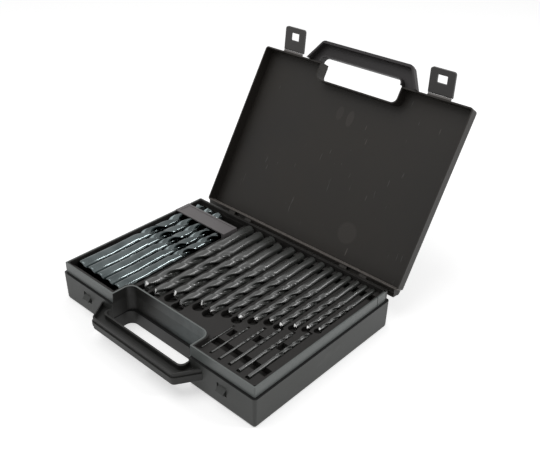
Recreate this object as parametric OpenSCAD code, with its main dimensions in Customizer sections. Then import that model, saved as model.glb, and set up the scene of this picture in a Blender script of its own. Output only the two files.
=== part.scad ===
// Hinged carrying case for a set of twist drills, shown with its lid open.
// Origin at the centre of the base's underside, +X along the front, +Y to the hinges, +Z up.

/* [Case] */
// Width of the case along its front
case_w = 240; // [236:1:260]
// Depth of the case from its front wall to its back wall
case_d = 170; // [169:1:185]
// Height of the plane where base and lid meet
parting_z = 28.4; // [27:0.2:30]
// Height of the inner lip above the parting plane
lip_h = 10.2; // [9:0.2:10.2]
// Height of the lid above the parting plane
lid_h = 13.4; // [13.4:0.2:16]
// Thickness of the base floor and of its lower walls
wall = 2; // [1.5:0.1:2.6]
// Thickness of the lid's skin
lid_wall = 1.3; // [1:0.1:1.4]
// Amount by which each side of the base draws in towards its floor
draft = 0.5; // [0.3:0.1:1.4]
// Radius of the upright corners
corner_r = 3; // [2.5:0.5:6]

/* [Handle] */
// Width of the handle where it leaves the front wall
handle_root_w = 128; // [122:1:136]
// Width of the handle along its grip
handle_grip_w = 107; // [100:1:112]
// Reach of the handle in front of the case
handle_reach = 20.4; // [18:0.2:26]
// Height of the plane where the handle's two halves meet
handle_z = 24.3; // [22:0.1:25]
// Height of the base's half of the handle
handle_h = 11; // [9:0.5:12.4]
// Height of the lid's half of the handle
lid_handle_h = 8.5; // [7:0.5:10]
// Thickness of the base's grip from front to back
grip_t = 12.4; // [10:0.2:14]
// Width of the finger recess in the base
finger_w = 97; // [94:1:98]
// Width of the finger opening in the lid
lid_finger_w = 93; // [88:1:93]
// Depth of the finger recess in the front of the base
recess_d = 22; // [20:0.5:24]
// Depth of the lid's finger opening behind the front wall
lid_opening_d = 16.2; // [12:0.2:18]
// Thickness of the lid's grip from front to back
lid_grip_t = 14.8; // [12:0.2:16]

/* [Hinges and latches] */
// Angle through which the lid opens
lid_open = 121.6; // [95:0.2:125]
// Distance of the hinge axis behind the back wall
hinge_out = 6; // [5:0.2:8]
// Height of the hinge axis
hinge_z = 27.7; // [27:0.1:28.4]
// Distance of each hinge from the middle of the case
hinge_x = 72; // [50:1:90]
// Diameter of the hinge pins
pin_d = 3; // [2:0.2:3.4]
// Running clearance between a pin and its bores
pin_gap = 0.05; // [0.02:0.01:0.09]
// Width of a latch tab
tab_w = 25; // [20:1:28]
// Length of a latch tab
tab_l = 22.5; // [20:0.5:25]
// Thickness of a latch tab
tab_t = 2.2; // [1.6:0.2:2.6]
// Distance of each latch from the middle of the case
tab_x = 85; // [81:1:96]
// Rest angle of the left tab below the plane of the lid
left_tab_bend = 26; // [0:1:60]
// Rest angle of the right tab below the plane of the lid
right_tab_bend = 30; // [0:1:60]

/* [Drill tray] */
// Height of the tray's land, which is also the axis height of the front and back rows
land_z = 34; // [33:0.2:35]
// Highest point of the five thickest drills
left_top_z = 38.6; // [38:0.1:38.6]
// Side clearance of a drill in its slot
slot_gap = 0.5; // [0.35:0.05:0.6]
// Gap below a drill that rests in its slot
seat_gap = 0.3; // [0.2:0.05:0.5]
// Distance from the last drill of the row to the side of the case
row_end = 12.1; // [10:0.1:16]
// Thickness of the tray's skin
tray_skin = 1.4; // [1:0.1:1.8]

/* [Hidden] */
eps = 0.01;
open_gap = 0.3;
lid_gap = 0.7;
front_y = -case_d / 2;
back_y = case_d / 2;
lip_z = parting_z + lip_h;
lid_z = parting_z + lid_h;
rim_z = parting_z + open_gap;
lip_in = lid_wall + lid_gap;
lip_t = 1.3;
tray_in = lip_in + lip_t + 0.15;
rim_t = 1;
ledge_w = 1.2;
ledge_z = land_z - 8;
edge_r = 2.2;
recess_r = 7;
gap_r = 5;
recess_wall = 1.4;
recess_step = 2.4;
step_z = handle_z - handle_h;
grip_wall = 1.6;
channel_h = 4.5;
grip_corner_r = 5;
hinge_y = back_y + hinge_out;
knuckle_r = pin_d / 2 + 2;
base_knuckle_w = 14;
lid_knuckle_w = 8;
knuckle_gap = 0.3;
pin_head_r = pin_d / 2 + 0.9;
pin_l = base_knuckle_w + 2 * lid_knuckle_w + 2 * knuckle_gap;
catch_w = 8.4;
catch_h = 3.6;
catch_out = 3;
catch_z = 16.6;
tab_hole_w = 10.4;
tab_hole_l = 7.6;
tab_hinge_z = rim_z + 1.4;
tab_hinge_y = front_y - 3.4;
tab_ledge_w = tab_w - 2;
bar_t = 1.2;
bar_w = 17.5;
bar_inset = 20;
saddle_t = 5;
saddle_inset = 34;
saddle_gap = 12;

// Jobber drills: diameter, overall length and flute length
LEFT = [[13, 151, 84], [12.5, 151, 84], [12, 151, 84], [11.5, 142, 78], [11, 142, 78]];
ROW = [
    [10.5, 133, 87], [10, 133, 87], [9.5, 125, 81], [9, 125, 81], [8.5, 117, 75],
    [8, 117, 75], [7.5, 109, 69], [7, 109, 69], [6.5, 101, 63], [6, 93, 57],
    [5.5, 93, 57], [5, 86, 52], [4.5, 80, 47], [4, 75, 43]
];
SMALL = [[1, 34, 12], [1.5, 40, 18], [2, 49, 24], [2.5, 57, 30], [3, 61, 33], [3.5, 70, 39]];
left_gap = 0.9;
left_x = 11.3 - case_w / 2;
small_x = finger_w / 2 + 4;
small_pitch = (case_w / 2 - 17 - small_x) / (len(SMALL) - 1);
left_front_y = front_y + 12.5;
row_back_y = back_y - 6.6;
small_front_y = front_y + 10.5;
// How far a drill was pushed forward or back in its slot
ROW_SHIFT = [0, -1.4, 0.7, -4, 0, -0.8, 1.2, 1.2, 0.8, 0.4, 1.2, 1.2, 0.9, 1.2];
SMALL_SHIFT = [0, 1.2, 0.4, 1.6, 0.8, 0.3];

function sum(v, n) = n <= 0 ? 0 : v[n - 1][0] + sum(v, n - 1);
// Middle of drill i when the drills lie side by side with an even gap
function even_x(v, i, x0, gap) = x0 + sum(v, i) + (v[i][0] - v[0][0]) / 2 + i * gap;
function left_xi(i) = even_x(LEFT, i, left_x, left_gap);
row_x = left_xi(len(LEFT) - 1) + 15.9;
row_gap = (case_w / 2 - row_end - row_x + ROW[0][0] / 2 - sum(ROW, len(ROW))) / (len(ROW) - 1);
function row_xi(i) = even_x(ROW, i, row_x, row_gap);
function small_xi(i) = small_x + i * small_pitch;
function left_zi(i) = left_top_z - LEFT[i][0] / 2;
function row_tip(i) = row_back_y - ROW[i][1] + ROW_SHIFT[i];
function small_end(i) = small_front_y + SMALL_SHIFT[i];
function drill_name(d) = str("drill_", floor(d), d > floor(d) ? "_5" : "", "mm");

LEFT_NAMES = [for (b = LEFT) drill_name(b[0])];
ROW_NAMES = [for (b = ROW) drill_name(b[0])];
SMALL_NAMES = [for (b = SMALL) drill_name(b[0])];

// The case's plan, drawn in by d on every side
module plan(d = 0, r = corner_r) {
    w = case_w - 2 * d;
    h = case_d - 2 * d;
    k = max(r - d, 0.6);
    square([w - 2 * k, h], center = true);
    square([w, h - 2 * k], center = true);
    for (x = [-1, 1])
        for (y = [-1, 1])
            translate([x * (w / 2 - k), y * (h / 2 - k)]) circle(k, $fn = 32);
}

// A finger recess that runs back from in front of the case
module notch(depth, grow = 0, r = recess_r) {
    w = finger_w + 2 * grow;
    back = front_y + depth + grow;
    y0 = front_y - handle_reach;
    translate([-w / 2, y0]) square([w, back - r - y0]);
    translate([-w / 2 + r, y0]) square([w - 2 * r, back - y0]);
    for (x = [-1, 1]) translate([x * (w / 2 - r), back - r]) circle(r, $fn = 32);
}

// Outline of the handle, drawn in by d; its slanted ends run into the front wall
module handle_plan(d = 0) {
    grip_x = handle_grip_w / 2 - d * 0.7;
    root_x = handle_root_w / 2 - d;
    y1 = front_y - handle_reach + d;
    r = grip_corner_r - d;
    hull() {
        for (x = [-1, 1]) translate([x * (grip_x - r), y1 + r]) circle(r, $fn = 24);
        translate([-root_x, front_y]) square([2 * root_x, 2]);
    }
}

// Opening between the base's grip and the case
module finger_gap(grow = 0) {
    w = finger_w + 2 * grow;
    r = gap_r;
    y0 = front_y - handle_reach + grip_t - grow;
    translate([-w / 2, y0 + r]) square([w, handle_reach]);
    translate([-w / 2 + r, y0]) square([w - 2 * r, handle_reach]);
    for (x = [-1, 1]) translate([x * (w / 2 - r), y0 + r]) circle(r, $fn = 32);
}

// Handle from z = 0 up to z = t, in steps: each step is [height of its top, inset of its side]
module stepped_handle(steps) {
    for (i = [0:len(steps) - 1]) {
        low = i == 0 ? 0 : steps[i - 1][0];
        translate([0, 0, low]) linear_extrude(steps[i][0] - low) handle_plan(steps[i][1]);
    }
}

// The base's half of the handle: stepped outside, with a channel above and below its web
module base_handle() {
    web_z = handle_h - channel_h - grip_wall;
    difference() {
        stepped_handle([[3.4, 0.9], [7.2, 0], [handle_h, 1.2]]);
        for (z = [-1, web_z + grip_wall])
            translate([0, 0, z]) linear_extrude(z < 0 ? web_z + 1 : handle_h) difference() {
                handle_plan(grip_wall + 1);
                finger_gap(grip_wall);
                translate([-case_w / 2, front_y]) square([case_w, 10]);
            }
        translate([0, 0, -1]) linear_extrude(handle_h + 2) finger_gap();
    }
}

// Slab of the base's drafted outside: lower edge rounded, sides drawn in towards the floor
module drafted_body() {
    hull() {
        linear_extrude(eps) plan(draft + edge_r * 0.7);
        translate([0, 0, edge_r * 0.3]) linear_extrude(eps) plan(draft + edge_r * 0.25);
        translate([0, 0, edge_r]) linear_extrude(eps) plan(draft);
        translate([0, 0, parting_z - eps]) linear_extrude(eps) plan(0);
    }
}

module knuckle(w, bore_r) {
    rotate([0, 90, 0]) difference() {
        cylinder(h = w, r = knuckle_r, center = true, $fn = 48);
        cylinder(h = w + 2, r = bore_r, center = true, $fn = 48);
    }
}

// Catch that a latch tab snaps over: a short shelf with a sloping upper face in a sunk frame
module catch_lug(x) {
    translate([x, 0, 0]) rotate([90, 0, 90]) linear_extrude(catch_w, center = true)
        polygon([
            [front_y + 1.4, catch_z - catch_h / 2 - 1],
            [front_y - catch_out + 0.8, catch_z - catch_h / 2],
            [front_y - catch_out, catch_z - catch_h / 2 + 1],
            [front_y + 1.4, catch_z + catch_h / 2 + 1]
        ]);
}

module base_shell() {
    color([0.22, 0.22, 0.21]) {
        difference() {
            union() {
                drafted_body();
                translate([0, 0, parting_z - 3]) linear_extrude(lip_h + 3) plan(lip_in);
                translate([0, 0, step_z]) base_handle();
            }
            // space for the tray
            difference() {
                union() {
                    translate([0, 0, wall]) linear_extrude(lip_z) plan(tray_in + ledge_w);
                    translate([0, 0, ledge_z]) linear_extrude(lip_z) plan(tray_in - 0.15);
                    translate([0, 0, wall]) linear_extrude(lip_z) intersection() {
                        plan(tray_in - 0.15);
                        translate([tub_x1 - case_w, -case_d / 2]) square([case_w, case_d]);
                    }
                }
                translate([0, 0, -1]) linear_extrude(lip_z + 3)
                    notch(recess_d, recess_wall, recess_r + recess_wall);
            }
            // finger recess, stepped where the handle's underside meets it
            translate([0, 0, step_z]) linear_extrude(lip_z) intersection() {
                notch(recess_d);
                translate([-case_w / 2, front_y - eps]) square([case_w, case_d]);
            }
            translate([0, 0, -1]) linear_extrude(lip_z) intersection() {
                notch(recess_d - recess_step, -0.4);
                translate([-case_w / 2, front_y - eps]) square([case_w, case_d]);
            }
            // sunk frames round the catches
            for (x = [-tab_x, tab_x])
                translate([x - catch_w / 2 - 1, front_y - 1, catch_z - catch_h / 2 - 2.4])
                    cube([catch_w + 2, 2.2, catch_h + 6]);
            // slits that part the lip at the sides
            for (x = [-1, 1])
                translate([x * case_w / 2 - 5, back_y - 17, parting_z + 1]) cube([10, 0.8, lip_h]);
        }
        for (x = [-tab_x, tab_x]) catch_lug(x);
        for (x = [-hinge_x, hinge_x]) {
            translate([x, hinge_y, hinge_z]) knuckle(base_knuckle_w, pin_d / 2 + pin_gap);
            // bracket from the back wall to the knuckle
            translate([x, 0, 0]) rotate([90, 0, 90]) linear_extrude(base_knuckle_w, center = true)
                difference() {
                    polygon([
                        [back_y - 1.5, hinge_z - 12],
                        [hinge_y + knuckle_r * 0.7, hinge_z - knuckle_r * 0.7],
                        [hinge_y, hinge_z],
                        [back_y - 1.5, hinge_z - 1.5]
                    ]);
                    translate([hinge_y, hinge_z]) circle(knuckle_r - 0.6, $fn = 48);
                }
        }
    }
}

// Slot for one drill: a straight trough with a round pit past the tip
module slot(x, y0, y1, z, d) {
    w = d + 2 * slot_gap;
    floor_z = z - d / 2 - seat_gap;
    translate([x - w / 2, y0, floor_z]) cube([w, y1 - y0, lip_z]);
}

module tray_plan(d = 0) {
    difference() {
        plan(tray_in + d, corner_r + tray_in);
        notch(recess_d, recess_wall + 0.25 + d, recess_r + recess_wall);
    }
}

well_x0 = tray_in + rim_t - case_w / 2;
well_x1 = left_xi(len(LEFT) - 1) + LEFT[len(LEFT) - 1][0] / 2 + 0.3;
well_y0 = left_front_y - 3.4;
well_y1 = back_y - 5;
well_floor = wall + tray_skin;
tub_x1 = well_x1 + tray_skin;
bar_y1 = back_y - bar_inset;
bar_y0 = bar_y1 - bar_w;
bar_z0 = left_top_z + seat_gap;
bar_leg_x0 = well_x1 + 0.4;
bar_leg_x1 = row_x - ROW[0][0] / 2 - 0.8;
rim_top_z = lip_z - 0.2;
SADDLE_Y = [front_y + saddle_inset, bar_y0 - saddle_gap];
groove_front_y = front_y + 19.5;
groove_w = 8.5;
back_groove_y = back_y - 20;
slot_back_y = back_y - tray_in - rim_t;

// Land and rim of the tray, which lies on the ledge inside the base
module tray_blank() {
    translate([0, 0, ledge_z]) linear_extrude(land_z - ledge_z) tray_plan();
    translate([0, 0, ledge_z]) linear_extrude(rim_top_z - ledge_z) difference() {
        tray_plan();
        tray_plan(rim_t);
    }
}

// Slots, finger grooves and reliefs for the drills that lift straight out
module tray_cuts() {
    for (i = [0:len(ROW) - 1]) {
        d = ROW[i][0];
        slot(row_xi(i), row_tip(i) - d * 0.3, slot_back_y, land_z, d);
        translate([row_xi(i), row_tip(i) - d * 0.3, land_z - d / 2 - 1.5])
            cylinder(h = lip_z, r = d / 2 + 1.4, $fn = 32);
    }
    for (i = [0:len(SMALL) - 1]) {
        y0 = small_end(i);
        slot(small_xi(i), y0 - 1.6, y0 + SMALL[i][1] + 2.4, land_z, SMALL[i][0]);
    }
    translate([small_x - 1.6, groove_front_y, land_z - 6])
        cube([small_xi(len(SMALL) - 1) - small_x + 10, groove_w, lip_z]);
    translate([row_x - ROW[0][0] / 2 - 1, back_groove_y, land_z - 6.4])
        cube([row_xi(len(ROW) - 1) - row_x + 14, 9, lip_z]);
    for (p = [[0, 39], [2, 48], [4, 54]])
        translate([small_xi(p[0]) + small_pitch / 2 - 2.6, front_y + p[1] - 4.5, land_z - 5])
            cube([5.2, 9, lip_z]);
}

module insert_tray() {
    color([0.3, 0.29, 0.28]) difference() {
        tray_blank();
        translate([tub_x1 - case_w, -case_d / 2, 0]) cube([case_w, case_d, lid_z]);
        tray_cuts();
    }
}

// Left end of the tray: a tub that stands on the base's floor, with two saddles for the thickest drills
module drill_tub() {
    color([0.3, 0.29, 0.28]) difference() {
        intersection() {
            union() {
                tray_blank();
                translate([0, 0, wall]) linear_extrude(ledge_z - wall + eps) intersection() {
                    tray_plan();
                    translate([-case_w / 2, well_y0 - tray_skin]) square([case_w, case_d]);
                }
            }
            translate([tub_x1 - case_w, -case_d / 2, 0]) cube([case_w, case_d, lid_z]);
        }
        difference() {
            translate([0, 0, well_floor]) linear_extrude(lip_z) intersection() {
                tray_plan(rim_t);
                translate([well_x0, well_y0]) square([well_x1 - well_x0, well_y1 - well_y0]);
            }
            for (y = SADDLE_Y) translate([well_x0 - 1, y, well_floor - 1])
                cube([well_x1 - well_x0 + 2, saddle_t, land_z - well_floor - 2]);
        }
        for (i = [0:len(LEFT) - 1])
            slot(left_xi(i), SADDLE_Y[0] - 1, SADDLE_Y[1] + saddle_t + 1, left_zi(i), LEFT[i][0]);
    }
}

module retaining_bar() {
    color([0.42, 0.4, 0.4]) difference() {
        union() {
            translate([well_x0 - rim_t, bar_y0, bar_z0])
                cube([bar_leg_x1 - well_x0 + rim_t, bar_y1 - bar_y0, bar_t]);
            // foot on the tray's rim and leg on its land
            translate([well_x0 - rim_t, bar_y0, rim_top_z])
                cube([rim_t, bar_y1 - bar_y0, bar_z0 - rim_top_z + eps]);
            translate([bar_leg_x0, bar_y0, land_z])
                cube([bar_leg_x1 - bar_leg_x0, bar_y1 - bar_y0, bar_z0 - land_z + eps]);
        }
        // shallow dish in the top
        translate([well_x0 + 3, bar_y0 + 2.4, bar_z0 + bar_t - 0.3])
            cube([bar_leg_x1 - well_x0 - 6, bar_y1 - bar_y0 - 4.8, 1]);
    }
}

// Turns a piece drawn on the closed case to the place it has with the lid open
module at_open_lid() {
    translate([0, hinge_y, hinge_z]) rotate([-lid_open, 0, 0]) translate([0, -hinge_y, -hinge_z])
        children();
}

lid_edge_r = 2.6;
lid_loop_t = 1.3;

module lid_body() {
    hull() {
        translate([0, 0, rim_z]) linear_extrude(eps) plan(0);
        translate([0, 0, lid_z - lid_edge_r]) linear_extrude(eps) plan(0.4);
        translate([0, 0, lid_z - lid_edge_r * 0.3]) linear_extrude(eps) plan(0.4 + lid_edge_r * 0.3);
        translate([0, 0, lid_z - eps]) linear_extrude(eps) plan(0.4 + lid_edge_r);
    }
}

module lid_opening(grow = 0) {
    w = lid_finger_w + 2 * grow;
    r = gap_r + grow;
    y0 = front_y - handle_reach + lid_grip_t - grow;
    y1 = front_y + lid_opening_d + grow;
    translate([-w / 2, y0 + r]) square([w, y1 - y0 - 2 * r]);
    translate([-w / 2 + r, y0]) square([w - 2 * r, y1 - y0]);
    for (x = [-1, 1])
        for (y = [y0 + r, y1 - r]) translate([x * (w / 2 - r), y]) circle(r, $fn = 32);
}

// Everything in front of the base's front wall
module before_case() {
    translate([-case_w, front_y - case_w - open_gap]) square([2 * case_w, case_w]);
}

lid_handle_z = handle_z + open_gap;

// The lid's half of the handle, which reaches down past the rim to meet the base's half
module lid_handle() {
    translate([0, 0, lid_handle_z]) difference() {
        union() {
            linear_extrude(rim_z - lid_handle_z + eps) intersection() {
                handle_plan();
                before_case();
            }
            translate([0, 0, rim_z - lid_handle_z]) linear_extrude(lid_handle_h - rim_z + lid_handle_z)
                handle_plan(0.9);
        }
        translate([0, 0, -1]) linear_extrude(lid_handle_h - grip_wall + 1) intersection() {
            handle_plan(grip_wall + 0.9);
            translate([-case_w, front_y - case_w + lid_wall]) square([2 * case_w, case_w]);
        }
    }
}

// Rounded spine along the lid's back edge, clear of the hinge axis by more than a knuckle
module lid_spine() {
    r = knuckle_r + 0.75;
    rotate([90, 0, 90]) linear_extrude(case_w - 2 * corner_r, center = true)
        translate([hinge_y, hinge_z]) difference() {
            polygon([
                [-hinge_out - 0.8, rim_z - hinge_z], [-hinge_out, rim_z - hinge_z],
                [-hinge_out * 0.6, 2], [0.8, 3], [0.9, 5.3], [-1.2, 9.4], [-2, lid_h - 1],
                [-3.4, lid_h], [-hinge_out - 0.8, lid_h]
            ]);
            circle(r, $fn = 48);
        }
}

module lid_closed() {
    difference() {
        union() {
            difference() {
                union() {
                    lid_body();
                    lid_handle();
                    lid_spine();
                }
                translate([0, 0, rim_z - 1]) linear_extrude(lid_z - rim_z - lid_wall + 1)
                    plan(lid_wall);
            }
            // wall round the finger opening
            translate([0, 0, rim_z]) linear_extrude(lid_handle_z + lid_handle_h - rim_z - 0.5)
                lid_opening(lid_loop_t);
            translate([0, 0, rim_z]) linear_extrude(lid_z - rim_z - 0.5) intersection() {
                lid_opening(lid_loop_t);
                translate([-case_w, front_y]) square([2 * case_w, case_d]);
            }
            translate([0, 0, lid_handle_z]) linear_extrude(rim_z - lid_handle_z + eps) intersection() {
                lid_opening(lid_loop_t);
                before_case();
            }
            // ledges that the latch tabs hang from
            for (x = [-tab_x, tab_x])
                translate([x - tab_ledge_w / 2, tab_hinge_y + 1.4, rim_z])
                    cube([tab_ledge_w, 3, 2.6]);
        }
        translate([0, 0, lid_handle_z - 1]) linear_extrude(lid_z) lid_opening();
        // room for the base's knuckles
        for (x = [-hinge_x, hinge_x])
            translate([x - base_knuckle_w / 2 - knuckle_gap, back_y - 0.5, 0])
                cube([base_knuckle_w + 2 * knuckle_gap, 9, hinge_z + knuckle_r + 0.6]);
    }
    for (x = [-hinge_x, hinge_x])
        for (s = [-1, 1]) {
            kx = x + s * (base_knuckle_w / 2 + knuckle_gap + lid_knuckle_w / 2);
            translate([kx, hinge_y, hinge_z]) knuckle(lid_knuckle_w, pin_d / 2 + pin_gap);
            translate([kx, 0, 0]) rotate([90, 0, 90]) linear_extrude(lid_knuckle_w, center = true)
                difference() {
                    polygon([
                        [back_y - 0.8, rim_z + 0.4],
                        [hinge_y, hinge_z],
                        [hinge_y + knuckle_r * 0.7, hinge_z + knuckle_r * 0.7],
                        [back_y - 0.8, lid_z - 3]
                    ]);
                    translate([hinge_y, hinge_z]) circle(knuckle_r - 0.6, $fn = 48);
                }
        }
}

module lid_shell() {
    color([0.2, 0.18, 0.17]) at_open_lid() lid_closed();
}

// Latch tab drawn flat in front of the closed lid's rim, then bent down by its rest angle
module latch_tab(x, bend) {
    r = 2.5;
    color([0.28, 0.26, 0.25]) at_open_lid()
        translate([x, tab_hinge_y, tab_hinge_z]) rotate([bend, 0, 0]) difference() {
            union() {
                translate([0, 0, -tab_t / 2]) linear_extrude(tab_t) {
                    translate([-tab_w / 2, -tab_l + r]) square([tab_w, tab_l - r]);
                    translate([-tab_w / 2 + r, -tab_l]) square([tab_w - 2 * r, tab_l]);
                    for (s = [-1, 1])
                        translate([s * (tab_w / 2 - r), -tab_l + r]) circle(r, $fn = 32);
                }
                // round hinge bead along the root
                rotate([0, 90, 0]) cylinder(h = tab_w, r = tab_t / 2, center = true, $fn = 32);
            }
            translate([-tab_hole_w / 2, catch_z - tab_hinge_z - tab_hole_l / 2, -tab_t])
                cube([tab_hole_w, tab_hole_l, 2 * tab_t]);
        }
}

module latch_tab_left() { latch_tab(-tab_x, left_tab_bend); }

module latch_tab_right() { latch_tab(tab_x, right_tab_bend); }

module hinge_pin(x) {
    color([0.6, 0.6, 0.6]) translate([x, hinge_y, hinge_z]) rotate([0, 90, 0]) union() {
        cylinder(h = pin_l + 0.6, r = pin_d / 2, center = true, $fn = 48);
        for (s = [-1, 1]) translate([0, 0, s * (pin_l / 2 + 0.7)])
            cylinder(h = 0.8, r = pin_head_r, center = true, $fn = 48);
    }
}

module hinge_pin_left() { hinge_pin(-hinge_x); }

module hinge_pin_right() { hinge_pin(hinge_x); }

web = 0.42;
half_lead = 2.8;
point_angle = 118;
land_arc = 2.2;

// Radius of the fluted section at angle a, for a full radius of 1
function flute_rho(a, depth) = 1 - (1 - web) * depth * pow(abs(sin(a)), land_arc);
function ring(y, a0, r, depth, n) = [
    for (k = [0:n - 1])
        let (a = 360 * k / n, q = r * flute_rho(a, depth))
        [q * cos(a + a0), q * sin(a + a0), y]
];

// Twist drill along +Y from its shank end at the origin, with two helical flutes
module drill(d, len, flute) {
    r = d / 2;
    n = d > 8 ? 14 : 8;
    turn = d > 8 ? 24 : 36;
    tip = r / tan(point_angle / 2);
    twist = 180 * (flute - tip) / (half_lead * d);
    steps = ceil(twist / turn);
    rings = concat(
        [ring(len - flute - d * 0.5, 0, r * 0.97, 0, n)],
        [for (i = [0:steps])
            let (f = i / steps)
            ring(len - flute + f * (flute - tip), f * twist, r * 0.985, i == 0 ? 0.25 : 1, n)],
        [ring(len - tip * 0.12, twist + 6, r * 0.12, 0.4, n)]
    );
    m = len(rings);
    faces = concat(
        [for (i = [0:m - 2]) for (k = [0:n - 1]) [i * n + k, (i + 1) * n + k, i * n + (k + 1) % n]],
        [for (i = [0:m - 2]) for (k = [0:n - 1])
            [i * n + (k + 1) % n, (i + 1) * n + k, (i + 1) * n + (k + 1) % n]],
        [[for (k = [0:n - 1]) k]],
        [[for (k = [n - 1:-1:0]) (m - 1) * n + k]]
    );
    color([0.3, 0.3, 0.29]) rotate([-90, 0, 0]) union() {
        cylinder(h = len - flute, r = r, $fn = 32);
        polyhedron([for (q = rings) each q], faces, convexity = 6);
    }
}

module left_drill(i) {
    translate([left_xi(i), left_front_y, left_zi(i)]) drill(LEFT[i][0], LEFT[i][1], LEFT[i][2]);
}

module row_drill(i) {
    translate([row_xi(i), row_tip(i) + ROW[i][1], land_z]) rotate([0, 0, 180])
        drill(ROW[i][0], ROW[i][1], ROW[i][2]);
}

module small_drill(i) {
    translate([small_xi(i), small_end(i), land_z]) drill(SMALL[i][0], SMALL[i][1], SMALL[i][2]);
}

base_shell();
insert_tray();
drill_tub();
retaining_bar();
lid_shell();
latch_tab_left();
latch_tab_right();
hinge_pin_left();
hinge_pin_right();
for (i = [0:len(LEFT) - 1]) left_drill(i);
for (i = [0:len(ROW) - 1]) row_drill(i);
for (i = [0:len(SMALL) - 1]) small_drill(i);
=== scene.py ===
import math

import bmesh
import bpy
from mathutils import Matrix, Vector


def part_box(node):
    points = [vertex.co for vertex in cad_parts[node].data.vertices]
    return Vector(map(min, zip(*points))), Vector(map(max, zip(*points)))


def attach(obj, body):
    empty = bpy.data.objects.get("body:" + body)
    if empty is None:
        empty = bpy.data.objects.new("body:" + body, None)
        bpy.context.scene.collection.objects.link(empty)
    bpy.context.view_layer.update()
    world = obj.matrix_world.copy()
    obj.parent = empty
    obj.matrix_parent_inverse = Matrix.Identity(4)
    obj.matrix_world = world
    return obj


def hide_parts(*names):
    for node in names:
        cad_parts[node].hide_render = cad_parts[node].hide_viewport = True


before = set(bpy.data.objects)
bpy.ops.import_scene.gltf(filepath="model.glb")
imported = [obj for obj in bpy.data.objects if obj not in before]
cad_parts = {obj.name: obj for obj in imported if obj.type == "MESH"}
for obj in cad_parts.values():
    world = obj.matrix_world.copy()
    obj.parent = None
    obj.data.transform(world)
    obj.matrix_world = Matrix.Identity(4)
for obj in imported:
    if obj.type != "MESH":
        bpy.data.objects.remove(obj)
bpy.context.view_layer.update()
mm = 0.001
print("frame loaded:", len(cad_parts), "nodes")


# camera, taken from the way the case's edges run in the picture (mm and degrees)
cameraSet = {
    "place": (398.8, -379.0, 421.6),
    "turn": (58.982, -0.752, 42.653),
    "lens": 50.55,
    "sensor": 36,
    "nearest": 20,
}


def makeCamera(s):
    data = bpy.data.cameras.new("camera")
    data.lens = s["lens"]
    data.sensor_width = s["sensor"]
    data.clip_start = s["nearest"] * mm
    cam = bpy.data.objects.new("camera", data)
    cam.location = Vector(s["place"]) * mm
    cam.rotation_euler = [math.radians(a) for a in s["turn"]]
    bpy.context.scene.collection.objects.link(cam)
    bpy.context.scene.camera = cam


makeCamera(cameraSet)
print("camera placed")


# helpers for node trees; a value is a number, a colour of three numbers or another node's output
def newTree(name):
    mat = bpy.data.materials.new(name)
    mat.use_nodes = True
    mat.node_tree.nodes.clear()
    return mat, mat.node_tree


def addNode(tree, kind, **values):
    n = tree.nodes.new(kind)
    for key, v in values.items():
        setattr(n, key, v)
    return n


def link(tree, a, b):
    tree.links.new(a, b)


def feed(tree, value, socket):
    if isinstance(value, (int, float)):
        socket.default_value = value
    elif isinstance(value, tuple):
        socket.default_value = (*value, 1)
    else:
        link(tree, value, socket)


def mathNode(tree, op, *values, clamp=False):
    n = addNode(tree, "ShaderNodeMath", operation=op, use_clamp=clamp)
    for socket, v in zip(n.inputs, values):
        feed(tree, v, socket)
    return n.outputs[0]


def product(tree, first, *others):
    for v in others:
        first = mathNode(tree, "MULTIPLY", first, v)
    return first


def rangeNode(tree, value, lo, hi, outLo=0.0, outHi=1.0):
    n = addNode(tree, "ShaderNodeMapRange")
    for socket, v in zip(n.inputs, (value, lo, hi, outLo, outHi)):
        feed(tree, v, socket)
    return n.outputs[0]


def mixColour(tree, share, a, b):
    n = addNode(tree, "ShaderNodeMix", data_type="RGBA")
    for i, v in ((0, share), (6, a), (7, b)):
        feed(tree, v, n.inputs[i])
    return n.outputs[2]


def mixFloat(tree, share, a, b):
    n = addNode(tree, "ShaderNodeMix", data_type="FLOAT")
    for i, v in ((0, share), (2, a), (3, b)):
        feed(tree, v, n.inputs[i])
    return n.outputs[0]


def noiseNode(tree, vector, scale, detail, rough=0.55):
    n = addNode(tree, "ShaderNodeTexNoise")
    for key, v in (("Vector", vector), ("Scale", scale), ("Detail", detail), ("Roughness", rough)):
        feed(tree, v, n.inputs[key])
    return n.outputs["Fac"]


def objectPlace(tree):
    return addNode(tree, "ShaderNodeTexCoord").outputs["Object"]


def mapPlace(tree, vector, **values):
    n = addNode(tree, "ShaderNodeMapping")
    for key, v in values.items():
        n.inputs[key].default_value = v
    link(tree, vector, n.inputs["Vector"])
    return n.outputs[0]


def splitAxes(tree, vector):
    n = addNode(tree, "ShaderNodeSeparateXYZ")
    link(tree, vector, n.inputs[0])
    return n.outputs


# each surface group gives a colour, a roughness and a height
def newGroup(name, inputs):
    g = bpy.data.node_groups.new(name, "ShaderNodeTree")
    for label, value in inputs.items():
        isColour = isinstance(value, tuple)
        kind = "NodeSocketColor" if isColour else "NodeSocketFloat"
        s = g.interface.new_socket(label, in_out="INPUT", socket_type=kind)
        s.default_value = (*value, 1) if isColour else value
    g.interface.new_socket("Colour", in_out="OUTPUT", socket_type="NodeSocketColor")
    for label in ("Roughness", "Height"):
        g.interface.new_socket(label, in_out="OUTPUT", socket_type="NodeSocketFloat")
    return g, g.nodes.new("NodeGroupInput").outputs, g.nodes.new("NodeGroupOutput").inputs


def spreadRoughness(g, given, tone):
    spread = product(g, mathNode(g, "SUBTRACT", tone, 0.5), given["Roughness Spread"])
    return mathNode(g, "ADD", given["Roughness"], spread)


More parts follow.
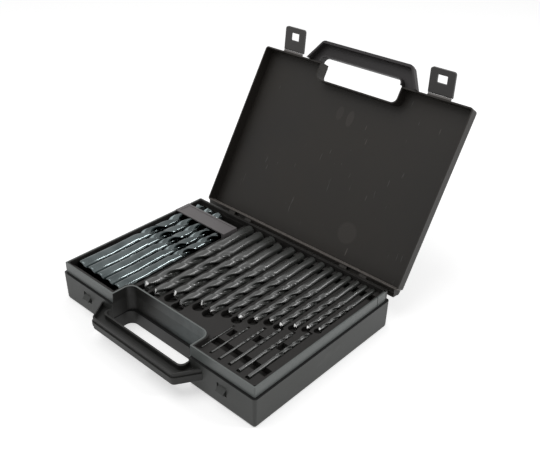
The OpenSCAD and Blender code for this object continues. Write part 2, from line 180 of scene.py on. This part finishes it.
# moulded plastic: a fine spark-eroded grain, cloudy patches of tone and thin handling scratches
mouldedSet = {
    "inputs": {
        "Colour": (0.04, 0.04, 0.04),
        "Cloud Colour": (0.05, 0.05, 0.05),
        "Cloud Scale": 22.0,
        "Grain Scale": 2600.0,
        "Grain Depth": 0.00002,
        "Roughness": 0.45,
        "Roughness Spread": 0.08,
        "Scratches": 0.3,
    },
    "cloud": {"detail": 4, "rough": 0.5, "range": (0.38, 0.66)},
    "grain": {"detail": 1.5, "rough": 0.5},
    "scratch": {
        "turn": (0.5, 0.3, 0.7),
        "stretch": (420, 9, 60),
        "detail": 2.0,
        "range": (0.69, 0.72),
        "colour": (0.16, 0.16, 0.155),
        "strength": 0.5,
    },
    "sparse": {"scale": 30.0, "detail": 2.0, "range": (0.52, 0.62)},
}


def makeMouldedGroup(s):
    g, given, out = newGroup("mouldedPlastic", s["inputs"])
    place = objectPlace(g)
    cloud = s["cloud"]
    clouds = noiseNode(g, place, given["Cloud Scale"], cloud["detail"], cloud["rough"])
    tone = rangeNode(g, clouds, *cloud["range"])
    colour = mixColour(g, tone, given["Colour"], given["Cloud Colour"])
    grain = noiseNode(g, place, given["Grain Scale"], s["grain"]["detail"], s["grain"]["rough"])
    # scratches are long thin cells, seen through a sparse mask
    scratch = s["scratch"]
    stretched = mapPlace(g, place, Rotation=scratch["turn"], Scale=scratch["stretch"])
    thin = rangeNode(g, noiseNode(g, stretched, 1.0, scratch["detail"]), *scratch["range"])
    patches = noiseNode(g, place, s["sparse"]["scale"], s["sparse"]["detail"])
    sparse = rangeNode(g, patches, *s["sparse"]["range"])
    seen = product(g, thin, sparse, given["Scratches"], scratch["strength"])
    link(g, mixColour(g, seen, colour, scratch["colour"]), out["Colour"])
    link(g, spreadRoughness(g, given, tone), out["Roughness"])
    link(g, product(g, grain, given["Grain Depth"]), out["Height"])
    return g


# ground or rolled steel: patches of tone, and fine marks that run round a drill
steelSet = {
    "inputs": {
        "Colour": (0.2, 0.2, 0.2),
        "Patch Colour": (0.15, 0.15, 0.15),
        "Patch Scale": 60.0,
        "Mark Depth": 0.00001,
        "Roughness": 0.3,
        "Roughness Spread": 0.12,
    },
    "patch": {"detail": 4, "rough": 0.5, "range": (0.36, 0.64)},
    "marks": {"stretch": (90, 3800, 90), "detail": 2.0},
}


def makeSteelGroup(s):
    g, given, out = newGroup("toolSteel", s["inputs"])
    place = objectPlace(g)
    patch = s["patch"]
    patches = noiseNode(g, place, given["Patch Scale"], patch["detail"], patch["rough"])
    tone = rangeNode(g, patches, *patch["range"])
    stretched = mapPlace(g, place, Scale=s["marks"]["stretch"])
    marks = noiseNode(g, stretched, 1.0, s["marks"]["detail"])
    link(g, mixColour(g, tone, given["Colour"], given["Patch Colour"]), out["Colour"])
    link(g, spreadRoughness(g, given, tone), out["Roughness"])
    link(g, product(g, marks, given["Mark Depth"]), out["Height"])
    return g


mouldedGroup = makeMouldedGroup(mouldedSet)
steelGroup = makeSteelGroup(steelSet)


def placeGroup(tree, group, values):
    n = addNode(tree, "ShaderNodeGroup", node_tree=group)
    for key, v in values.items():
        feed(tree, v, n.inputs[key])
    return n.outputs


def finishMaterial(tree, colour, rough, height, fixed):
    shader = addNode(tree, "ShaderNodeBsdfPrincipled")
    for key, v in fixed.items():
        shader.inputs[key].default_value = v
    link(tree, colour, shader.inputs["Base Color"])
    link(tree, rough, shader.inputs["Roughness"])
    bump = addNode(tree, "ShaderNodeBump")
    bump.inputs["Distance"].default_value = 1.0
    bump.inputs["Strength"].default_value = 1.0
    link(tree, height, bump.inputs["Height"])
    link(tree, bump.outputs[0], shader.inputs["Normal"])
    out = addNode(tree, "ShaderNodeOutputMaterial")
    link(tree, shader.outputs[0], out.inputs["Surface"])


def skinMaterial(name, group, s):
    mat, tree = newTree(name)
    skin = placeGroup(tree, group, s["skin"])
    finishMaterial(tree, skin["Colour"], skin["Roughness"], skin["Height"], s["fixed"])
    return mat


# masks of the shells' materials, by place (mm), with an edge this soft
maskEdge = 0.05


def overMask(tree, value, at):
    return rangeNode(tree, value, (at - maskEdge) * mm, (at + maskEdge) * mm)


def underMask(tree, value, at):
    return mathNode(tree, "SUBTRACT", 1.0, overMask(tree, value, at))


def bandMask(tree, value, low, high):
    return product(tree, overMask(tree, value, low), underMask(tree, value, high))


# base: grained skirt; smoother glossier lip, coloured lighter as painted sheen; painted shade as a
# near-black handle, parting line and back of the lip; recess wall with painted light and shade
# (mm)
basePlastic = {
    "skirt": {
        "Colour": (0.032, 0.034, 0.032),
        "Cloud Colour": (0.04, 0.042, 0.039),
        "Roughness": 0.5,
        "Grain Depth": 0.000045,
        "Grain Scale": 1500.0,
    },
    # painted sheen: the lip is coloured about three times lighter than the skirt of the same
    # plastic, standing in for the light it reflects
    "lip": {
        "Colour": (0.108, 0.118, 0.114),
        "Cloud Colour": (0.13, 0.142, 0.138),
        "Roughness": 0.34,
        "Grain Depth": 0.000008,
        "Scratches": 0.15,
    },
    "lipStart": 29.0,
    # painted shade: near-black colour for the back of the lip, under the open lid
    "lipBackShade": {"colour": (0.012, 0.011, 0.01), "start": 79.5},
    # painted shade: black band at the parting line under the lip, also used for the recess's step
    "paintedShadeLine": {"colour": (0.002, 0.002, 0.002), "low": 28.32, "high": 29.0},
    # painted shade: near-black colour for the handle
    "handle": {"colour": (0.011, 0.011, 0.01), "start": -85.1, "halfWide": 66},
    "recess": {
        "halfWide": 49.2,
        "front": -84.6,
        "back": -60.5,
        "top": 38.4,
        "stepLow": 12.9,
        "stepHigh": 13.8,
    },
    # painted light and shade on the recess wall: pale where lit, dark where shaded
    "recessWall": {
        "pale": (0.12, 0.14, 0.14),
        "dark": (0.013, 0.013, 0.012),
        "from": -22,
        "to": 34,
        "bottom": 13.6,
        "patchScale": 90.0,
        "patchDetail": 3.0,
        "patchRange": (0.4, 0.62),
        "patchStrength": (0.72, 1.0),
    },
    "fixed": {"IOR": 1.5, "Specular IOR Level": 0.4},
}


# finger recess: painted light and shade; its back wall is coloured pale towards the right, where
# light falls on it, and dark below the step, where it lies in shadow
def recessLightAndShade(tree, place, x, z, wall):
    noise = noiseNode(tree, place, wall["patchScale"], wall["patchDetail"])
    pale = product(
        tree,
        rangeNode(tree, x, wall["from"] * mm, wall["to"] * mm),
        rangeNode(tree, noise, *wall["patchRange"], *wall["patchStrength"]),
        overMask(tree, z, wall["bottom"]),
    )
    return mixColour(tree, pale, wall["dark"], wall["pale"])


def baseMaterial(name, s):
    mat, tree = newTree(name)
    low = placeGroup(tree, mouldedGroup, s["skirt"])
    high = placeGroup(tree, mouldedGroup, s["lip"])
    place = objectPlace(tree)
    x, y, z = splitAxes(tree, place)
    across = mathNode(tree, "ABSOLUTE", x)
    onLip = overMask(tree, z, s["lipStart"])
    colour = mixColour(tree, onLip, low["Colour"], high["Colour"])
    recess = s["recess"]
    inside = product(
        tree,
        underMask(tree, across, recess["halfWide"]),
        bandMask(tree, y, recess["front"], recess["back"]),
        underMask(tree, z, recess["top"]),
    )
    recessShading = recessLightAndShade(tree, place, x, z, s["recessWall"])
    colour = mixColour(tree, inside, colour, recessShading)
    # painted shade: a black band at the parting line under the lip and a black line at the
    # recess's step stand in for the shadow in the gaps there
    paintedShadeLine = bandMask(tree, z, s["paintedShadeLine"]["low"], s["paintedShadeLine"]["high"])
    paintedShadeLine = product(tree, paintedShadeLine, mathNode(tree, "SUBTRACT", 1.0, inside))
    step = product(tree, bandMask(tree, z, recess["stepLow"], recess["stepHigh"]), inside)
    black = mathNode(tree, "MAXIMUM", paintedShadeLine, step)
    colour = mixColour(tree, black, colour, s["paintedShadeLine"]["colour"])
    # painted shade: the handle is coloured near-black for the shade and dark reflections on it
    handleShade = product(
        tree,
        underMask(tree, y, s["handle"]["start"]),
        underMask(tree, across, s["handle"]["halfWide"]),
    )
    colour = mixColour(tree, handleShade, colour, s["handle"]["colour"])
    # painted shade: the back of the lip, in the shade of the open lid, is coloured near-black
    inLidShade = product(tree, onLip, overMask(tree, y, s["lipBackShade"]["start"]))
    colour = mixColour(tree, inLidShade, colour, s["lipBackShade"]["colour"])
    rough = mixFloat(tree, onLip, low["Roughness"], high["Roughness"])
    height = mixFloat(tree, onLip, low["Height"], high["Height"])
    finishMaterial(tree, colour, rough, height, s["fixed"])
    return mat


# lid: matt brown-black skin with pale rub marks inside and a painted highlight along its back edge
# by the hinge (places in mm on the closed lid)
lidPlastic = {
    "skin": {
        "Colour": (0.0165, 0.0145, 0.0125),
        "Cloud Colour": (0.0225, 0.0195, 0.0165),
        "Cloud Scale": 14.0,
        "Roughness": 0.52,
        "Grain Depth": 0.00002,
        "Scratches": 0.5,
    },
    "openAngle": 121.6,
    "hinge": (91, 27.7),  # y, z
    "marks": [  # middle x, y, half width, half length, strength
        (44.7, 57.9, 10.5, 10.5, 0.2), (-12.8, -45.3, 4, 7, 0.16), (0.4, -43.1, 4, 8, 0.24),
        (51.5, 74.5, 0.7, 4, 0.8), (26.6, -27.7, 0.5, 3, 0.6), (20.8, -40, 0.5, 2.5, 0.5),
        (93.4, -58.2, 0.5, 3, 0.5), (-39.7, 17.6, 0.4, 2.5, 0.35), (49.4, 20.8, 0.5, 3, 0.45),
    ],
    "markFade": (1.15, 0.7),  # squared distance, in half sizes, at which a mark starts and is full
    "markColour": (0.085, 0.076, 0.07),
    "panel": (39.5, 41.3),  # the marks lie between these heights
    # painted highlight: a thin pale line on the lid's back edge by the hinge
    "backEdgeHighlight": {"colour": (0.15, 0.135, 0.125), "from": 83.2, "to": 84.2, "top": 40.0},
    "handle": {"colour": (0.034, 0.031, 0.032), "start": -85.4},
    "tabRoot": {"colour": (0.17, 0.158, 0.152), "start": 70},
    "fixed": {"IOR": 1.45, "Specular IOR Level": 0.35},
}


def closedLidPlace(tree, s):
    a = math.radians(s["openAngle"])
    hy, hz = s["hinge"]
    shift = (
        0,
        (hy - hy * math.cos(a) + hz * math.sin(a)) * mm,
        (hz - hy * math.sin(a) - hz * math.cos(a)) * mm,
    )
    return mapPlace(tree, objectPlace(tree), Rotation=(a, 0, 0), Location=shift)


def markMask(tree, x, y, mark, fade):
    cx, cy, halfWide, halfLong, strength = mark
    dx = mathNode(tree, "DIVIDE", mathNode(tree, "SUBTRACT", x, cx * mm), halfWide * mm)
    dy = mathNode(tree, "DIVIDE", mathNode(tree, "SUBTRACT", y, cy * mm), halfLong * mm)
    far = mathNode(tree, "ADD", product(tree, dx, dx), product(tree, dy, dy))
    return rangeNode(tree, far, *fade, 0.0, strength)


def lidMaterial(name, s):
    mat, tree = newTree(name)
    skin = placeGroup(tree, mouldedGroup, s["skin"])
    x, y, z = splitAxes(tree, closedLidPlace(tree, s))
    rubbed, *others = [markMask(tree, x, y, mark, s["markFade"]) for mark in s["marks"]]
    for spot in others:
        rubbed = mathNode(tree, "MAXIMUM", rubbed, spot)
    rubbed = product(tree, rubbed, bandMask(tree, z, *s["panel"]))
    colour = mixColour(tree, rubbed, skin["Colour"], s["markColour"])
    # painted highlight: the lid's back edge by the hinge is coloured pale where it catches the
    # light
    wall = s["backEdgeHighlight"]
    onBackEdgeHighlight = product(
        tree, bandMask(tree, y, wall["from"], wall["to"]), underMask(tree, z, wall["top"])
    )
    colour = mixColour(tree, onBackEdgeHighlight, colour, wall["colour"])
    front = underMask(tree, y, s["handle"]["start"])
    root = overMask(tree, mathNode(tree, "ABSOLUTE", x), s["tabRoot"]["start"])
    colour = mixColour(tree, front, colour, s["handle"]["colour"])
    colour = mixColour(tree, product(tree, front, root), colour, s["tabRoot"]["colour"])
    finishMaterial(tree, colour, skin["Roughness"], skin["Height"], s["fixed"])
    return mat


# painted highlight: the rounded edges are coloured lighter, and a little smoother, where the
# moulding catches the light
edgeHighlight = {
    "skin": {
        "Colour": (0.12, 0.121, 0.117),
        "Cloud Colour": (0.05, 0.05, 0.048),
        "Cloud Scale": 60.0,
        "Roughness": 0.34,
        "Grain Depth": 0.000006,
        "Scratches": 0.2,
    },
    "fixed": {"IOR": 1.5, "Specular IOR Level": 0.5},
}
trayPlastic = {
    "skin": {
        "Colour": (0.015, 0.014, 0.013),
        "Cloud Colour": (0.021, 0.0195, 0.0185),
        "Roughness": 0.55,
        "Grain Depth": 0.00001,
        "Scratches": 0.1,
    },
    "fixed": {"IOR": 1.45, "Specular IOR Level": 0.3},
}
barPlastic = {
    "skin": {
        "Colour": (0.1, 0.092, 0.093),
        "Cloud Colour": (0.12, 0.11, 0.112),
        "Roughness": 0.42,
        "Grain Depth": 0.00001,
        "Scratches": 0.2,
    },
    "fixed": {"IOR": 1.5, "Specular IOR Level": 0.5},
}
tabPlastic = {
    "skin": {
        "Colour": (0.026, 0.024, 0.023),
        "Cloud Colour": (0.034, 0.031, 0.03),
        "Roughness": 0.45,
        "Grain Depth": 0.00001,
        "Scratches": 0.3,
    },
    "fixed": {"IOR": 1.5, "Specular IOR Level": 0.5},
}

# steels: dark for the row of drills and the smallest, blued for the five thickest, and bright
# for the ground points and the hinge pins
darkSteel = {
    "skin": {
        "Colour": (0.028, 0.0295, 0.027),
        "Patch Colour": (0.016, 0.0175, 0.0155),
        "Patch Scale": 90.0,
        "Roughness": 0.33,
        "Roughness Spread": 0.16,
        "Mark Depth": 0.000004,
    },
    "fixed": {"Metallic": 0.0, "IOR": 1.75, "Specular IOR Level": 0.55},
}
blueSteel = {
    "skin": {
        "Colour": (0.125, 0.145, 0.147),
        "Patch Colour": (0.08, 0.093, 0.095),
        "Patch Scale": 60.0,
        "Roughness": 0.11,
        "Roughness Spread": 0.05,
        "Mark Depth": 0.000004,
    },
    "fixed": {"Metallic": 1.0},
}
groundSteel = {
    "skin": {
        "Colour": (0.78, 0.78, 0.77),
        "Patch Colour": (0.6, 0.6, 0.59),
        "Patch Scale": 400.0,
        "Roughness": 0.24,
        "Mark Depth": 0.000006,
    },
    "fixed": {"Metallic": 1.0},
}
pinSteel = {
    "skin": {
        "Colour": (0.5, 0.5, 0.5),
        "Patch Colour": (0.4, 0.4, 0.39),
        "Patch Scale": 300.0,
        "Roughness": 0.3,
        "Mark Depth": 0.000006,
    },
    "fixed": {"Metallic": 1.0},
}

baseSkin = baseMaterial("basePlastic", basePlastic)
lidSkin = lidMaterial("lidPlastic", lidPlastic)
edgeHighlightSkin = skinMaterial("edgeHighlight", mouldedGroup, edgeHighlight)
traySkin = skinMaterial("trayPlastic", mouldedGroup, trayPlastic)
barSkin = skinMaterial("barPlastic", mouldedGroup, barPlastic)
tabSkin = skinMaterial("tabPlastic", mouldedGroup, tabPlastic)
darkSkin = skinMaterial("drillSteel", steelGroup, darkSteel)
blueSkin = skinMaterial("blueSteel", steelGroup, blueSteel)
groundSkin = skinMaterial("groundSteel", steelGroup, groundSteel)
pinSkin = skinMaterial("pinSteel", steelGroup, pinSteel)
print("materials made")


# edges of the moulded pieces are rounded a little, as a mould leaves them (mm and degrees)
edgeSet = {
    "segments": 2,
    "sharperThan": 40,
    "pieces": {  # material, radius, material of the rounded edge where it differs
        # the base and the lid take the painted edge highlight on their rounded edges
        "base_shell": (baseSkin, 0.5, edgeHighlightSkin),
        "insert_tray": (traySkin, 0.3),
        "drill_tub": (traySkin, 0.3),
        "retaining_bar": (barSkin, 0.25),
        "lid_shell": (lidSkin, 0.42, edgeHighlightSkin),
        "latch_tab_left": (tabSkin, 0.4),
        "latch_tab_right": (tabSkin, 0.4),
        "hinge_pin_left": (pinSkin, 0.1),
        "hinge_pin_right": (pinSkin, 0.1),
    },
}


def dressNode(name, mat, radius, edge=None):
    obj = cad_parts[name]
    obj.data.materials.clear()
    obj.data.materials.append(mat)
    bevel = obj.modifiers.new("edges", "BEVEL")
    bevel.width = radius * mm
    bevel.segments = edgeSet["segments"]
    bevel.limit_method = "ANGLE"
    bevel.angle_limit = math.radians(edgeSet["sharperThan"])
    bevel.harden_normals = False
    if edge:
        obj.data.materials.append(edge)
        bevel.material = 1


for nodeName, finish in edgeSet["pieces"].items():
    dressNode(nodeName, *finish)
print("moulded pieces dressed")


# drills: standard jobber flute length (mm) by diameter
fluteLength = {
    13: 84, 12.5: 84, 12: 84, 11.5: 78, 11: 78, 10.5: 87, 10: 87, 9.5: 81, 9: 81, 8.5: 75,
    8: 75, 7.5: 69, 7: 69, 6.5: 63, 6: 57, 5.5: 57, 5: 52, 4.5: 47, 4: 43, 3.5: 39, 3: 33,
    2.5: 30, 2: 24, 1.5: 18, 1: 12,
}
drillSet = {
    "pointAngle": 118,
    "halfLead": 2.8,  # diameters advanced in half a turn of the helix
    "runOut": 1.3,  # diameters over which the flute fades into the shank
    "runOutEarly": 0.3,  # share of the run-out that lies before the flute's length
    "tipsTowardHandle": (4, 10.5),  # drills from this to this diameter point at the handle
    "darkUnder": 4,  # smaller drills are dark whichever way they point
    "shankEnd": [(0, 0.86), (0.1, 0.965), (0.22, 1)],  # chamfer: distance and radius, in radii
    "shankRing": 0.5,  # share of the shank at which it has one more ring
    "ringTurn": 7,  # degrees of helix from one ring to the next
    "ringGap": 0.0004,  # least distance between two rings (m)
    "bodyEnd": 1.04,  # the helix ends this share of the cone's length before the tip
    "coneRings": (1.0, 0.62, 0.3),  # rings of the ground point, as shares of the radius
    "chisel": 0.02,  # share of the cone's length by which the tip is blunt
    "overhang": 0.12,  # share of the cone's length added beyond the CAD solid
    "sharpAngle": 38,
}
# half of the cross-section: angle in degrees, radius as a share of the full radius
sectionHalf = [
    (0, 1.0), (5, 1.0), (9, 1.0), (11, 0.97), (28, 0.968), (44, 0.966), (60, 0.964), (74, 0.962),
    (86, 0.95), (94, 0.9), (101, 0.79), (109, 0.63), (118, 0.48), (128, 0.37), (139, 0.31),
    (150, 0.32), (159, 0.42), (166, 0.58), (171, 0.76), (175, 0.93), (178, 1.0),
]
section = sectionHalf + [(a + 180, rho) for a, rho in sectionHalf]


def joinRings(bm, rings, smooth, material):
    for a, b in zip(rings, rings[1:]):
        for k in range(len(section)):
            after = (k + 1) % len(section)
            face = bm.faces.new((a[k], a[after], b[after], b[k]))
            face.smooth = smooth
            face.material_index = material


# a drill along +y with its shank end at 0 and its axis at x = z = 0 (m)
def drillMesh(bm, r, length, flute, s):
    cone = r / math.tan(math.radians(s["pointAngle"] / 2))
    length += cone * s["overhang"]
    pitch = s["halfLead"] * 2 * r / 180
    runOut = s["runOut"] * 2 * r

    def addRing(points):
        return [bm.verts.new(p) for p in points]

    def roundRing(y, radius):
        turns = [math.radians(a) for a, rho in section]
        return addRing([(radius * math.cos(t), y, radius * math.sin(t)) for t in turns])

    def flutedPoint(a, rho, y, depth, share=1.0):
        turned = math.radians(a - (y - (length - flute)) / pitch)
        q = r * share * (1 - (1 - rho) * depth)
        return (q * math.cos(turned), y, q * math.sin(turned))

    rings = [roundRing(r * far, r * wide) for far, wide in s["shankEnd"]]
    start = length - flute - runOut * s["runOutEarly"]
    rings.append(roundRing(start * s["shankRing"], r))
    end = length - cone * s["bodyEnd"]
    steps = int((end - start) / max(pitch * s["ringTurn"], s["ringGap"]))
    for i in range(steps + 1):
        y = start + (end - start) * i / steps
        depth = min(max((y - start) / runOut, 0), 1)
        depth = depth * depth * (3 - 2 * depth)
        rings.append(addRing([flutedPoint(a, rho, y, depth) for a, rho in section]))
    # the ground point: the section meets the cone, which closes to the chisel edge
    tipRings = [
        addRing([flutedPoint(a, rho, length - cone * rho * share, 1, share) for a, rho in section])
        for share in s["coneRings"]
    ]
    joinRings(bm, rings + tipRings[:1], True, 0)
    joinRings(bm, tipRings, False, 1)
    apex = bm.verts.new((0, length - cone * s["chisel"], 0))
    last = tipRings[-1]
    for k in range(len(section)):
        face = bm.faces.new((last[k], last[(k + 1) % len(section)], apex))
        face.material_index = 1
    bm.faces.new(list(reversed(rings[0])))


def makeDrill(name, size, tipToHandle):
    low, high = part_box(name)
    cx, cz = (low[0] + high[0]) / 2, (low[2] + high[2]) / 2
    bm = bmesh.new()
    drillMesh(bm, size * mm / 2, high[1] - low[1], fluteLength[size] * mm, drillSet)
    for v in bm.verts:
        x, y, z = v.co
        v.co = (cx - x, high[1] - y, cz + z) if tipToHandle else (cx + x, low[1] + y, cz + z)
    bmesh.ops.recalc_face_normals(bm, faces=bm.faces)
    mesh = bpy.data.meshes.new("twist_" + name)
    bm.to_mesh(mesh)
    bm.free()
    mesh.set_sharp_from_angle(angle=math.radians(drillSet["sharpAngle"]))
    obj = bpy.data.objects.new("twist_" + name, mesh)
    bpy.context.scene.collection.objects.link(obj)
    isDark = tipToHandle or size < drillSet["darkUnder"]
    mesh.materials.append(darkSkin if isDark else blueSkin)
    mesh.materials.append(groundSkin)
    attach(obj, name)
    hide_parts(name)


for size in fluteLength:
    whole = int(size)
    drillNode = "drill_%d%smm" % (whole, "_5" if size > whole else "")
    smallest, largest = drillSet["tipsTowardHandle"]
    makeDrill(drillNode, size, smallest <= size <= largest)
print("drills made:", len(fluteLength))


# studio: white world and floor, a wide soft lamp overhead and a strip behind on the right (m)
studio = {
    "floorSize": 6.0,
    "floorDrop": 0.0002,
    "floorColour": (0.8, 0.8, 0.8),
    "floorRoughness": 0.9,
    "floorLift": 0.52,
    "worldFill": 0.4,
    "lampAim": (0, 0, 0.05),
    "lamps": [
        {"name": "overhead", "place": (-0.3, -0.35, 1.5), "size": (1.2, 1.2), "power": 8.0},
        {"name": "backRight", "place": (0.76, 0.62, 0.84), "size": (0.09, 0.6), "power": 4.0},
    ],
}


def raysOfKind(tree, *kinds):
    rays = addNode(tree, "ShaderNodeLightPath").outputs
    total = rays[kinds[0]]
    for kind in kinds[1:]:
        total = mathNode(tree, "ADD", total, rays[kind], clamp=True)
    return total


def glow(tree, kind, strength):
    n = addNode(tree, kind)
    n.inputs["Color"].default_value = (1, 1, 1, 1)
    n.inputs["Strength"].default_value = strength
    return n.outputs[0]


def mixShaders(tree, share, a, b):
    n = addNode(tree, "ShaderNodeMixShader")
    for socket, v in zip(n.inputs, (share, a, b)):
        link(tree, v, socket)
    return n.outputs[0]


# the glow that lifts the floor to white is for the camera and mirror images, and lights nothing
def floorMaterial(s):
    mat, tree = newTree("floorWhite")
    shader = addNode(tree, "ShaderNodeBsdfPrincipled")
    shader.inputs["Base Color"].default_value = (*s["floorColour"], 1)
    shader.inputs["Roughness"].default_value = s["floorRoughness"]
    shader.inputs["Specular IOR Level"].default_value = 0.0
    seen = raysOfKind(tree, "Is Camera Ray", "Is Glossy Ray")
    dark = glow(tree, "ShaderNodeEmission", 0.0)
    lift = glow(tree, "ShaderNodeEmission", s["floorLift"])
    total = addNode(tree, "ShaderNodeAddShader")
    link(tree, shader.outputs[0], total.inputs[0])
    link(tree, mixShaders(tree, seen, dark, lift), total.inputs[1])
    out = addNode(tree, "ShaderNodeOutputMaterial")
    link(tree, total.outputs[0], out.inputs["Surface"])
    return mat


def makeFloor(s):
    mesh = bpy.data.meshes.new("floor")
    h = s["floorSize"]
    mesh.from_pydata([(-h, -h, 0), (h, -h, 0), (h, h, 0), (-h, h, 0)], [], [(0, 1, 2, 3)])
    mesh.materials.append(floorMaterial(s))
    obj = bpy.data.objects.new("floor", mesh)
    obj.location = (0, 0, -s["floorDrop"])
    bpy.context.scene.collection.objects.link(obj)


def makeWorld(s):
    world = bpy.data.worlds.new("studio")
    bpy.context.scene.world = world
    world.use_nodes = True
    tree = world.node_tree
    tree.nodes.clear()
    seen = raysOfKind(tree, "Is Camera Ray", "Is Glossy Ray", "Is Transmission Ray")
    fill = glow(tree, "ShaderNodeBackground", s["worldFill"])
    white = glow(tree, "ShaderNodeBackground", 1.0)
    out = addNode(tree, "ShaderNodeOutputWorld")
    link(tree, mixShaders(tree, seen, fill, white), out.inputs["Surface"])


# a lamp faces the case, with its long side along the drills
def makeLamp(s, aim):
    data = bpy.data.lights.new(s["name"], "AREA")
    data.energy = s["power"]
    data.shape = "RECTANGLE"
    data.size, data.size_y = s["size"]
    lamp = bpy.data.objects.new(s["name"], data)
    lamp.location = s["place"]
    back = (lamp.location - Vector(aim)).normalized()
    along = (Vector((0, 1, 0)) - back * back.y).normalized()
    lamp.rotation_euler = Matrix((along.cross(back), along, back)).transposed().to_euler()
    bpy.context.scene.collection.objects.link(lamp)


makeFloor(studio)
makeWorld(studio)
for lampSet in studio["lamps"]:
    makeLamp(lampSet, studio["lampAim"])
bpy.context.scene.view_settings.view_transform = "Standard"
print("studio lit")
